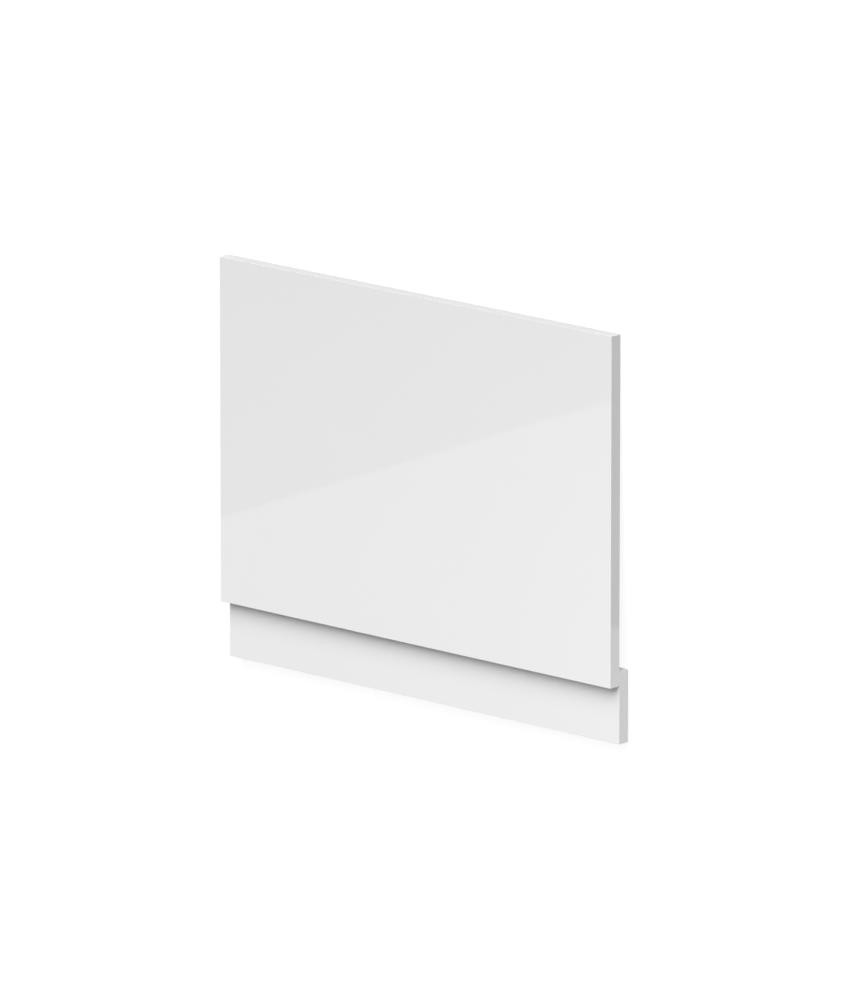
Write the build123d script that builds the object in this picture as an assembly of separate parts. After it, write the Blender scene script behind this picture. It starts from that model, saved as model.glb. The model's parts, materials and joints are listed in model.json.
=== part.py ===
from build123d import *

import os
from math import atan2, degrees

# Bath end panel: a wide board that closes the end of a bath, with a lower plinth board
# standing against its back and set back from its face. All sizes are in millimetres.

# Upper board, as wide as the end of the bath
panel_width = 700.0
panel_height = 480.0
panel_thickness = 18.0

# Plinth board, as wide as the panel
plinth_height = 100.0
plinth_thickness = 18.0

# How far the plinth runs up behind the panel's lower edge
plinth_lap = 20.0

# Small round on every edge of both boards
arris = 0.3


def board(width, height, thickness):
    """A board with its back on Z = 0, its lower edge on Y = 0 and its width centred on X."""
    outline = Rectangle(width, height, align=(Align.CENTER, Align.MIN))
    blank = extrude(outline, thickness)
    return fillet(blank.edges(), arris)


def seated_boards():
    """Both boards put together, face towards +Z and top towards +Y, the plinth's back on Z = 0."""
    panel = board(panel_width, panel_height, panel_thickness)
    plinth = board(panel_width, plinth_height, plinth_thickness)
    return {
        "end_panel": Pos(Z=plinth_thickness) * panel,
        "plinth": Pos(Y=plinth_lap - plinth_height) * plinth,
    }


def resting_place(boards):
    """How the panel lies face up on a floor at Z = 0, with its middle over the origin.

    The panel's weight is beyond the plinth, so the pair leans over the plinth's upper back
    edge until the panel's upper back edge is down too.
    """
    lean = atan2(plinth_thickness, panel_height - plinth_lap)
    leaned = Rot(X=-degrees(lean))
    box = Compound([leaned * shape for shape in boards.values()]).bounding_box()
    to_floor = Pos(Y=-box.center().Y, Z=-box.min.Z)
    return to_floor * leaned


boards = seated_boards()
resting = resting_place(boards)

os.makedirs("parts", exist_ok=True)
for node, shape in boards.items():
    export_step(resting * shape, f"parts/{node}.step")
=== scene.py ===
import json
import math

import bpy
from mathutils import Matrix, Vector


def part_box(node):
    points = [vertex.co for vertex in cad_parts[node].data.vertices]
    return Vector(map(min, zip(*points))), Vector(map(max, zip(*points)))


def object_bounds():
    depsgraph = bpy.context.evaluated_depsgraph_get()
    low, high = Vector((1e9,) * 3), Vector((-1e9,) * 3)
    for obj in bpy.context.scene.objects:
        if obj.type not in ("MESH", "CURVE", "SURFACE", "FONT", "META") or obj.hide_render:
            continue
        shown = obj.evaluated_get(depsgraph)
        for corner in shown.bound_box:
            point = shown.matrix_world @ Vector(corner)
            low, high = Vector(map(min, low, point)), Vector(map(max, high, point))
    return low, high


# A gloss white bath end panel with its plinth, lying face up on a pale studio floor.
# Lengths are in metres. Right, up and face are the panel's own directions: along its width,
# towards its top edge and out of its face.

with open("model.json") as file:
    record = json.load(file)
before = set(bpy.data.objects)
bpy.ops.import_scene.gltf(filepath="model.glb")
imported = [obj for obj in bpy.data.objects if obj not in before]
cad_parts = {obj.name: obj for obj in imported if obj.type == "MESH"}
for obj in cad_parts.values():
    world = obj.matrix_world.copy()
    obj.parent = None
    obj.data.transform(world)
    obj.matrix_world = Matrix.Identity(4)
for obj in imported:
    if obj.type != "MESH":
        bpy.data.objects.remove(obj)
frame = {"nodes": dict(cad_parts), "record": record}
cad_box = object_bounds()

# White lacquer on the face and edges, thin white paper on the back
LACQUER_WHITE = (0.83, 0.83, 0.83)
PAPER_WHITE = (0.76, 0.76, 0.755, 1.0)
LACQUER_ROUGHNESS = 0.05
EDGE_ROUGHNESS = 0.09
PAPER_ROUGHNESS = 0.52
LACQUER_IOR = 1.5

# Relief of the finish: low waves in the lacquer, and the tooth of the paper
FLOW_WAVE = 0.006
FLOW_HEIGHT = 0.0000012
PAPER_GRAIN = 0.0008
PAPER_HEIGHT = 0.00002

# Noise behind the finish: the lacquer's waves and its slow drift, the paper's tooth and its mottle.
# A scale is per metre.
WAVE_NOISE = {"Detail": 2.0, "Roughness": 0.4}
DRIFT_NOISE = {"Scale": 5.0, "Detail": 3.0, "Roughness": 0.5}
TOOTH_NOISE = {"Detail": 3.0, "Roughness": 0.6}
MOTTLE_NOISE = {"Scale": 60.0, "Detail": 4.0, "Roughness": 0.6}

# The part of the drift's and the mottle's range that counts, and the factors that it gives on the
# lacquer's tone and roughness and on the paper's white
DRIFT_RANGE = (0.25, 0.75)
TONE_FACTORS = (0.996, 1.004)
SHEEN_FACTORS = (0.85, 1.15)
MOTTLE_RANGE = (0.3, 0.7)
PAPER_FACTORS = (0.97, 1.02)

# Where each board takes its lacquer's noise from, so that the two boards differ
PANEL_SHIFT = (0.0, 0.0, 0.0)
PLINTH_SHIFT = (1.7, 0.9, 0.0)

# How near to the back of a board a point counts as paper, and how squarely a point looks out of the
# face or the back where the edge's finish starts and where it is full
BACK_SKIN = 0.0003
EDGE_SLANT = (0.9, 0.5)

# Camera: its turn off the face's own direction, to the right and up, its distance, lens and aim
CAMERA_TURN = math.radians(41.692)
CAMERA_RISE = math.radians(14.049)
CAMERA_DISTANCE = 18.8338
CAMERA_LENS_MM = 507.11
CAMERA_SENSOR_MM = 36.0
AIM_RIGHT_OF_MIDDLE = 0.0174
AIM_ABOVE_LOWER_EDGE = 0.20276

# Floor: its size, how much light it throws back, and how much of its white is its own. Under each
# board that white drops to a painted shadow, between two depths in from the board's ends and within
# one depth from its long edges. The gloss mirrors that painted shadow too.
FLOOR_SIZE = 40.0
FLOOR_BOUNCE = (0.5, 0.5, 0.5, 1.0)
FLOOR_SHADE = (0.12, 0.12, 0.12, 1.0)
FLOOR_OWN_WHITE = 0.92
PAINTED_SHADOW_WHITE = 0.12
PANEL_END_PAINTED_SHADOW = (0.016, 0.05)
PLINTH_END_PAINTED_SHADOW = (0.004, 0.01)
EDGE_PAINTED_SHADOW = 0.008

# How bright the white is that the camera and the gloss see round the part, and how bright black card is
WHITE = 1.0
BLACK = 0.0

# Studio light: an even sky, a broad key from beyond the panel's top edge, and a weak fill from its
# right, a little low. A level is how bright a white surface gets that faces the light. Ways are
# along right, up and face, and both lamps stand at one distance from the part's origin.
SKY_COLOUR = (1.0, 1.0, 1.0, 1.0)
SKY_LEVEL = 0.139
KEY_LEVEL = 1.171
KEY_WAY = (0.221, 0.676, 0.705)
KEY_SPREAD = math.radians(53.0)
FILL_LEVEL = 0.058
FILL_WAY = (0.9, -0.35, 0.5)
FILL_SIDE = 0.5
LAMP_DISTANCE = 1.2

# Dark flag that the face mirrors: its greys at its sharp edge and far from it, how high above the
# panel's lower edge that edge shows at the left and right ends, the flag's height over the face, and
# how far its other sides go past the panel's mirrored outline before and while they fade to white
FLAG_GREY = 0.26
FLAG_FAR_GREY = 0.0
FLAG_CROSSES_LEFT = 0.1169
FLAG_CROSSES_RIGHT = 0.3932
FLAG_HEIGHT = 0.35
FLAG_MARGIN = 0.02
FLAG_FADE = 0.3

# Cards on the floor: a dark strip that the panel's right end mirrors above a height from its lower
# edge, and a black card under the boards and beyond the top edge, which keeps the floor's light out
# of the gap below them and off that edge. The strip starts a little way in from the right end. Both
# reach equally far out, and lie just off the floor.
END_STRIP_FROM = 0.0704
END_STRIP_FADE = 0.004
END_STRIP_TUCK = 0.001
CARD_REACH = 0.12
CARD_LIFT = 0.0005

# Kinds of sockets on the node groups
NUMBER = "NodeSocketFloat"
VECTOR = "NodeSocketVector"
COLOUR = "NodeSocketColor"

# Where a Mix node has its two inputs and its result, for each kind of data
MIX_SOCKETS = {"FLOAT": (2, 3, 0), "RGBA": (6, 7, 2)}

# Kinds of rays that an object can be shown to
RAY_KINDS = ("camera", "diffuse", "glossy", "transmission", "volume_scatter", "shadow")


# Directions and places on the panel


def mount_axis(name):
    """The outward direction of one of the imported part's mounting faces."""
    mount = next(m for m in frame["record"]["mounts"] if m["name"] == name)
    return Vector(mount["axis"]).normalized()


RIGHT = mount_axis("right_end")
UP = mount_axis("rim_edge")
FACE = RIGHT.cross(UP)


def span(node, way):
    """The lowest and highest place of a board along a direction."""
    places = [vertex.co.dot(way) for vertex in frame["nodes"][node].data.vertices]
    return min(places), max(places)


PANEL_LEFT, PANEL_RIGHT = span("end_panel", RIGHT)
PANEL_FOOT, PANEL_TOP = span("end_panel", UP)
PANEL_FACE = span("end_panel", FACE)[1]


def by_panel(right, up, face):
    """A vector given by its lengths along the panel's own directions."""
    return RIGHT * right + UP * up + FACE * face


def on_face(right, up):
    """A point of the panel's face."""
    return by_panel(right, up, PANEL_FACE)


# Nodes that every material is built from


def feed(tree, value, socket):
    """Joins another socket to an input socket, or sets it to a plain value."""
    if isinstance(value, bpy.types.NodeSocket):
        tree.links.new(value, socket)
    else:
        socket.default_value = value


def add(tree, kind, feeds=None, **settings):
    """A new node with its settings, and a socket or a plain value fed to each input named."""
    node = tree.nodes.new(kind)
    for name, value in settings.items():
        setattr(node, name, value)
    for name, value in (feeds or {}).items():
        feed(tree, value, node.inputs[name])
    return node


def calculate(tree, operation, first, second=0.0):
    """A socket with the result of an operation on one or two numbers."""
    return add(tree, "ShaderNodeMath", {0: first, 1: second}, operation=operation).outputs["Value"]


def calculate_vector(tree, operation, feeds, result="Vector"):
    """A socket with the result of an operation on vectors."""
    return add(tree, "ShaderNodeVectorMath", feeds, operation=operation).outputs[result]


def along(tree, vector, way):
    """A socket with how far a vector goes along a direction."""
    return calculate_vector(tree, "DOT_PRODUCT", {0: vector, 1: way}, "Value")


def scaled(tree, vector, factor):
    """A socket with a vector or a colour times a number."""
    return calculate_vector(tree, "SCALE", {0: vector, "Scale": factor})


def mix(tree, kind, mask, low, high):
    """A socket that goes from low to high with a mask."""
    low_socket, high_socket, result = MIX_SOCKETS[kind]
    node = add(tree, "ShaderNodeMix", data_type=kind)
    feed(tree, mask, node.inputs["Factor"])
    feed(tree, low, node.inputs[low_socket])
    feed(tree, high, node.inputs[high_socket])
    return node.outputs[result]


def ranged(tree, value, source, target=(0.0, 1.0), interpolation="LINEAR"):
    """A socket with a value carried over from one range to another, and held within it."""
    feeds = {
        "Value": value,
        "From Min": source[0],
        "From Max": source[1],
        "To Min": target[0],
        "To Max": target[1],
    }
    return add(tree, "ShaderNodeMapRange", feeds, interpolation_type=interpolation).outputs["Result"]


def noise(tree, feeds):
    """A socket with soft noise."""
    return add(tree, "ShaderNodeTexNoise", feeds).outputs["Fac"]


def new_group(name, inputs, outputs):
    """An empty shader node group: its tree, the sockets that it is given and those that it puts out."""
    tree = bpy.data.node_groups.new(name, "ShaderNodeTree")
    for socket, kind in inputs.items():
        tree.interface.new_socket(socket, in_out="INPUT", socket_type=kind)
    for socket, kind in outputs.items():
        tree.interface.new_socket(socket, in_out="OUTPUT", socket_type=kind)
    given = tree.nodes.new("NodeGroupInput").outputs
    result = tree.nodes.new("NodeGroupOutput").inputs
    return tree, given, result


def placed(tree, group, feeds):
    """The outputs of a node group that is placed in a material with its own values."""
    return add(tree, "ShaderNodeGroup", feeds, node_tree=group).outputs


# Effects that several materials share


def lacquer_flow_group():
    """How sprayed gloss lacquer settles: low waves, and a faint drift of tone and sheen."""
    tree, given, result = new_group(
        "lacquer_flow",
        {"Wave": NUMBER, "Shift": VECTOR},
        {"Height": NUMBER, "Tone": NUMBER, "Sheen": NUMBER},
    )
    point = add(tree, "ShaderNodeTexCoord").outputs["Object"]
    moved = calculate_vector(tree, "ADD", {0: point, 1: given["Shift"]})
    per_metre = calculate(tree, "DIVIDE", 1.0, given["Wave"])
    waves = noise(tree, {"Vector": moved, "Scale": per_metre, **WAVE_NOISE})
    drift = noise(tree, {"Vector": moved, **DRIFT_NOISE})
    feed(tree, waves, result["Height"])
    feed(tree, ranged(tree, drift, DRIFT_RANGE, TONE_FACTORS), result["Tone"])
    feed(tree, ranged(tree, drift, DRIFT_RANGE, SHEEN_FACTORS), result["Sheen"])
    return tree


def board_sides_group():
    """Which side of a board a point is on: masks for the paper on its back and for its edges."""
    tree, given, result = new_group(
        "board_sides",
        {"Face Way": VECTOR, "Back Level": NUMBER, "Skin": NUMBER},
        {"Back": NUMBER, "Edge": NUMBER},
    )
    point = add(tree, "ShaderNodeTexCoord").outputs
    level = along(tree, point["Object"], given["Face Way"])
    above_back = calculate(tree, "SUBTRACT", level, given["Back Level"])
    squareness = calculate(tree, "ABSOLUTE", along(tree, point["Normal"], given["Face Way"]))
    feed(tree, calculate(tree, "LESS_THAN", above_back, given["Skin"]), result["Back"])
    feed(tree, ranged(tree, squareness, EDGE_SLANT), result["Edge"])
    return tree


def backing_paper_group():
    """The tooth and faint mottle of the thin paper on the back of a board."""
    tree, given, result = new_group(
        "backing_paper",
        {"Grain": NUMBER, "White": COLOUR},
        {"Height": NUMBER, "Color": COLOUR},
    )
    point = add(tree, "ShaderNodeTexCoord").outputs["Object"]
    per_metre = calculate(tree, "DIVIDE", 1.0, given["Grain"])
    tooth = noise(tree, {"Vector": point, "Scale": per_metre, **TOOTH_NOISE})
    mottle = noise(tree, {"Vector": point, **MOTTLE_NOISE})
    factor = ranged(tree, mottle, MOTTLE_RANGE, PAPER_FACTORS)
    feed(tree, tooth, result["Height"])
    feed(tree, scaled(tree, given["White"], factor), result["Color"])
    return tree


def fade_along_group():
    """A brightness that goes over smoothly to another between two places along a direction."""
    tree, given, result = new_group(
        "fade_along",
        {"Level": NUMBER, "Way": VECTOR, "Start": NUMBER, "End": NUMBER, "Past": NUMBER},
        {"Level": NUMBER},
    )
    point = add(tree, "ShaderNodeTexCoord").outputs["Object"]
    place = along(tree, point, given["Way"])
    fade = ranged(tree, place, (given["Start"], given["End"]), interpolation="SMOOTHSTEP")
    feed(tree, mix(tree, "FLOAT", fade, given["Level"], given["Past"]), result["Level"])
    return tree


LACQUER_FLOW = lacquer_flow_group()
BOARD_SIDES = board_sides_group()
BACKING_PAPER = backing_paper_group()
FADE_ALONG = fade_along_group()


# Finish of the two boards


def lacquered_board(name, node, shift):
    """Gloss white lacquer on a board's face and edges, with white paper on its back."""
    material = bpy.data.materials.new(name)
    material.use_nodes = True
    tree = material.node_tree
    shader = tree.nodes["Principled BSDF"].inputs
    feed(tree, LACQUER_IOR, shader["IOR"])

    back_level = span(node, FACE)[0]
    sides = placed(tree, BOARD_SIDES, {"Face Way": FACE, "Back Level": back_level, "Skin": BACK_SKIN})
    flow = placed(tree, LACQUER_FLOW, {"Wave": FLOW_WAVE, "Shift": shift})
    paper = placed(tree, BACKING_PAPER, {"Grain": PAPER_GRAIN, "White": PAPER_WHITE})

    lacquer = scaled(tree, LACQUER_WHITE, flow["Tone"])
    colour = mix(tree, "RGBA", sides["Back"], lacquer, paper["Color"])
    feed(tree, colour, shader["Base Color"])

    gloss = mix(tree, "FLOAT", sides["Edge"], LACQUER_ROUGHNESS, EDGE_ROUGHNESS)
    drifting = calculate(tree, "MULTIPLY", gloss, flow["Sheen"])
    roughness = mix(tree, "FLOAT", sides["Back"], drifting, PAPER_ROUGHNESS)
    feed(tree, roughness, shader["Roughness"])

    waves = calculate(tree, "MULTIPLY", flow["Height"], FLOW_HEIGHT)
    tooth = calculate(tree, "MULTIPLY", paper["Height"], PAPER_HEIGHT)
    height = mix(tree, "FLOAT", sides["Back"], waves, tooth)
    # The height is in metres already, so the bump takes it as it is
    relief = add(tree, "ShaderNodeBump", {"Height": height, "Strength": 1.0, "Distance": 1.0})
    feed(tree, relief.outputs["Normal"], shader["Normal"])
    return material


def finish_board(node, material):
    """Gives a board its finish in place of the plain one."""
    board = frame["nodes"][node]
    board.data.materials.clear()
    board.data.materials.append(material)


panel_lacquer = lacquered_board("panel_lacquer", "end_panel", PANEL_SHIFT)
plinth_lacquer = lacquered_board("plinth_lacquer", "plinth", PLINTH_SHIFT)
finish_board("end_panel", panel_lacquer)
finish_board("plinth", plinth_lacquer)


# Studio floor, sky and lamps


def flat_sheet(name, corners, material):
    """A four-sided sheet of the studio's own, which is no part of the panel."""
    mesh = bpy.data.meshes.new(name)
    mesh.from_pydata([tuple(corner) for corner in corners], [], [(0, 1, 2, 3)])
    mesh.materials.append(material)
    sheet = bpy.data.objects.new(name, mesh)
    bpy.context.scene.collection.objects.link(sheet)
    return sheet


def level_sheet(name, low, high, height, material):
    """A flat sheet that lies level between two corners."""
    outline = [(low[0], low[1]), (high[0], low[1]), (high[0], high[1]), (low[0], high[1])]
    return flat_sheet(name, [(x, y, height) for x, y in outline], material)


def bare_material(name):
    """A new material with no shader yet, its node tree, and the socket that takes the shader."""
    material = bpy.data.materials.new(name)
    material.use_nodes = True
    tree = material.node_tree
    tree.nodes.clear()
    surface = add(tree, "ShaderNodeOutputMaterial").inputs["Surface"]
    return material, tree, surface


def seen_directly(tree):
    """A socket that is 1 for what the camera sees, also in gloss and through glass."""
    ray = add(tree, "ShaderNodeLightPath").outputs
    seen = calculate(tree, "MAXIMUM", ray["Is Camera Ray"], ray["Is Glossy Ray"])
    return calculate(tree, "MAXIMUM", seen, ray["Is Transmission Ray"])


def fading_level(tree, level, fades):
    """One brightness, which goes over to another past each fade.

    A fade is a direction, the places along it where it starts and ends, and the brightness past it.
    """
    for way, start, end, past in fades:
        feeds = {"Level": level, "Way": way, "Start": start, "End": end, "Past": past}
        level = placed(tree, FADE_ALONG, feeds)["Level"]
    return level


def white_with_painted_shadow(tree, node, end_shadow_depths):
    """The floor's own white near a board, with a painted shadow: dark under the board, in from its ends
    and edges.
    """
    low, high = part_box(node)
    depth = Vector((0.0, 1.0, 0.0))
    dark_from, dark_to = end_shadow_depths
    return fading_level(tree, PAINTED_SHADOW_WHITE, [
        (RIGHT, low.x + dark_to, low.x + dark_from, FLOOR_OWN_WHITE),
        (RIGHT, high.x - dark_to, high.x - dark_from, FLOOR_OWN_WHITE),
        (depth, low.y + EDGE_PAINTED_SHADOW, low.y, FLOOR_OWN_WHITE),
        (depth, high.y - EDGE_PAINTED_SHADOW, high.y, FLOOR_OWN_WHITE),
    ])


def floor_material():
    """A pale floor that throws light back, and shows white with the panel's shadow on it: a faint lit
    shadow, and a painted shadow under the boards.
    """
    material, tree, surface = bare_material("studio_floor")
    # The floor's own white, with a painted shadow under each board that both the camera and the gloss
    # see
    panel_painted_shadow = white_with_painted_shadow(tree, "end_panel", PANEL_END_PAINTED_SHADOW)
    plinth_painted_shadow = white_with_painted_shadow(tree, "plinth", PLINTH_END_PAINTED_SHADOW)
    own_white_with_painted_shadow = calculate(tree, "MINIMUM", panel_painted_shadow, plinth_painted_shadow)
    glow = add(tree, "ShaderNodeEmission", {"Strength": own_white_with_painted_shadow}).outputs["Emission"]
    shade = add(tree, "ShaderNodeBsdfDiffuse", {"Color": FLOOR_SHADE}).outputs["BSDF"]
    bounce = add(tree, "ShaderNodeBsdfDiffuse", {"Color": FLOOR_BOUNCE}).outputs["BSDF"]
    shown = add(tree, "ShaderNodeAddShader", {0: shade, 1: glow}).outputs["Shader"]
    either = add(tree, "ShaderNodeMixShader", {0: seen_directly(tree), 1: bounce, 2: shown})
    feed(tree, either.outputs["Shader"], surface)
    return material


def studio_floor():
    """The floor that the panel lies on."""
    half = FLOOR_SIZE / 2
    level_sheet("studio_floor", (-half, -half), (half, half), 0.0, floor_material())


def studio_sky():
    """An even pale sky, white where the camera or the gloss sees it."""
    world = bpy.data.worlds.new("studio_sky")
    bpy.context.scene.world = world
    world.use_nodes = True
    tree = world.node_tree
    sky = tree.nodes["Background"].inputs
    feed(tree, SKY_COLOUR, sky["Color"])
    feed(tree, mix(tree, "FLOAT", seen_directly(tree), SKY_LEVEL, WHITE), sky["Strength"])


def place_lamp(lamp, way):
    """Stands a lamp off the part's origin, facing it. The gloss mirrors the sky in its place."""
    holder = bpy.data.objects.new(lamp.name, lamp)
    bpy.context.scene.collection.objects.link(holder)
    outward = by_panel(*way).normalized()
    holder.location = outward * LAMP_DISTANCE
    holder.rotation_euler = outward.to_track_quat("Z", "Y").to_euler()
    holder.visible_camera = False
    holder.visible_glossy = False


def soft_key():
    """The main light: broad, and as strong at one end of the panel as at the other."""
    lamp = bpy.data.lights.new("soft_key", "SUN")
    lamp.energy = KEY_LEVEL * math.pi
    lamp.angle = KEY_SPREAD
    place_lamp(lamp, KEY_WAY)


def near_fill():
    """A small softbox, near enough to light the right end of the panel more than the left."""
    lamp = bpy.data.lights.new("near_fill", "AREA")
    lamp.shape = "SQUARE"
    lamp.size = FILL_SIDE
    lamp.energy = FILL_LEVEL * (math.pi * LAMP_DISTANCE) ** 2
    place_lamp(lamp, FILL_WAY)


# Camera


def camera_axes():
    """The camera's right, up and backward directions."""
    across = math.sin(CAMERA_TURN)
    ahead = math.cos(CAMERA_TURN)
    level = math.cos(CAMERA_RISE)
    back = by_panel(across * level, math.sin(CAMERA_RISE), ahead * level)
    right = by_panel(ahead, 0.0, -across)
    return right, back.cross(right), back


def camera_place():
    """Where the camera stands."""
    middle = (PANEL_LEFT + PANEL_RIGHT) / 2
    aim = on_face(middle + AIM_RIGHT_OF_MIDDLE, PANEL_FOOT + AIM_ABOVE_LOWER_EDGE)
    back = camera_axes()[2]
    return aim + back * CAMERA_DISTANCE


def photo_camera():
    """A long lens that looks down on the panel and sees it as if it stood upright."""
    data = bpy.data.cameras.new("camera")
    data.sensor_width = CAMERA_SENSOR_MM
    data.lens = CAMERA_LENS_MM
    camera = bpy.data.objects.new("camera", data)
    bpy.context.scene.collection.objects.link(camera)
    turn = Matrix(camera_axes()).transposed()
    camera.matrix_world = Matrix.Translation(camera_place()) @ turn.to_4x4()
    bpy.context.scene.camera = camera


# Flag over the panel and cards on the floor


def show_only_to(sheet, kind):
    """Shows a sheet to one kind of ray alone."""
    for each in RAY_KINDS:
        setattr(sheet, "visible_" + each, each == kind)


def card_material(name, grey, fades=()):
    """A card of one grey, which goes over to others past the fades given."""
    material, tree, surface = bare_material(name)
    glow = add(tree, "ShaderNodeEmission", {"Strength": fading_level(tree, grey, fades)})
    feed(tree, glow.outputs["Emission"], surface)
    return material


def mirrored_at(right, up):
    """The point at the flag's height that the camera sees mirrored at a place of the face."""
    point = on_face(right, up)
    ray = (point - camera_place()).normalized()
    bounced = ray.reflect(FACE)
    return point + bounced * (FLAG_HEIGHT / bounced.dot(FACE))


def face_flag():
    """A dark flag over the panel, which shows in the gloss alone.

    The face mirrors its sharp edge as a slanting line. Its other sides fade to white just past what
    the camera sees of it.
    """
    left = mirrored_at(PANEL_LEFT, PANEL_FOOT + FLAG_CROSSES_LEFT)
    right = mirrored_at(PANEL_RIGHT, PANEL_FOOT + FLAG_CROSSES_RIGHT)
    seen = [left, right, mirrored_at(PANEL_LEFT, PANEL_TOP), mirrored_at(PANEL_RIGHT, PANEL_TOP)]
    edge_way = (right - left).normalized()
    far_way = FACE.cross(edge_way)

    sharp_edge = left.dot(far_way)
    grey_start = min(corner.dot(edge_way) for corner in seen) - FLAG_MARGIN
    grey_end = max(corner.dot(edge_way) for corner in seen) + FLAG_MARGIN
    grey_far = max(corner.dot(far_way) for corner in seen) + FLAG_MARGIN
    start = grey_start - FLAG_FADE
    end = grey_end + FLAG_FADE
    far = grey_far + FLAG_FADE
    cloth = card_material("dark_cloth", FLAG_GREY, [
        (far_way, sharp_edge, grey_far, FLAG_FAR_GREY),
        (edge_way, grey_start, start, WHITE),
        (edge_way, grey_end, end, WHITE),
        (far_way, grey_far, far, WHITE),
    ])

    height = FACE * left.dot(FACE)
    outline = [(start, sharp_edge), (end, sharp_edge), (end, far), (start, far)]
    corners = [edge_way * place + far_way * depth + height for place, depth in outline]
    show_only_to(flat_sheet("face_flag", corners, cloth), "glossy")


def floor_cards():
    """The dark strip beside the panel's right end, and the black card under the boards.

    The strip shows in the gloss alone. The card shows nowhere, and only takes the floor's place where
    the floor would light the boards.
    """
    low, high = cad_box
    inner = high.x - END_STRIP_TUCK
    white_to = PANEL_FOOT + END_STRIP_FROM
    dark = card_material("dark_card", BLACK, [(UP, white_to + END_STRIP_FADE, white_to, WHITE)])
    strip = level_sheet("end_strip", (inner, low.y), (inner + CARD_REACH, high.y), CARD_LIFT, dark)
    show_only_to(strip, "glossy")

    black = card_material("black_card", BLACK)
    card = level_sheet("under_card", (low.x, low.y), (high.x, high.y + CARD_REACH), CARD_LIFT, black)
    show_only_to(card, "diffuse")


studio_floor()
studio_sky()
soft_key()
near_fill()
photo_camera()
face_flag()
floor_cards()

bpy.context.scene.view_settings.view_transform = "Standard"
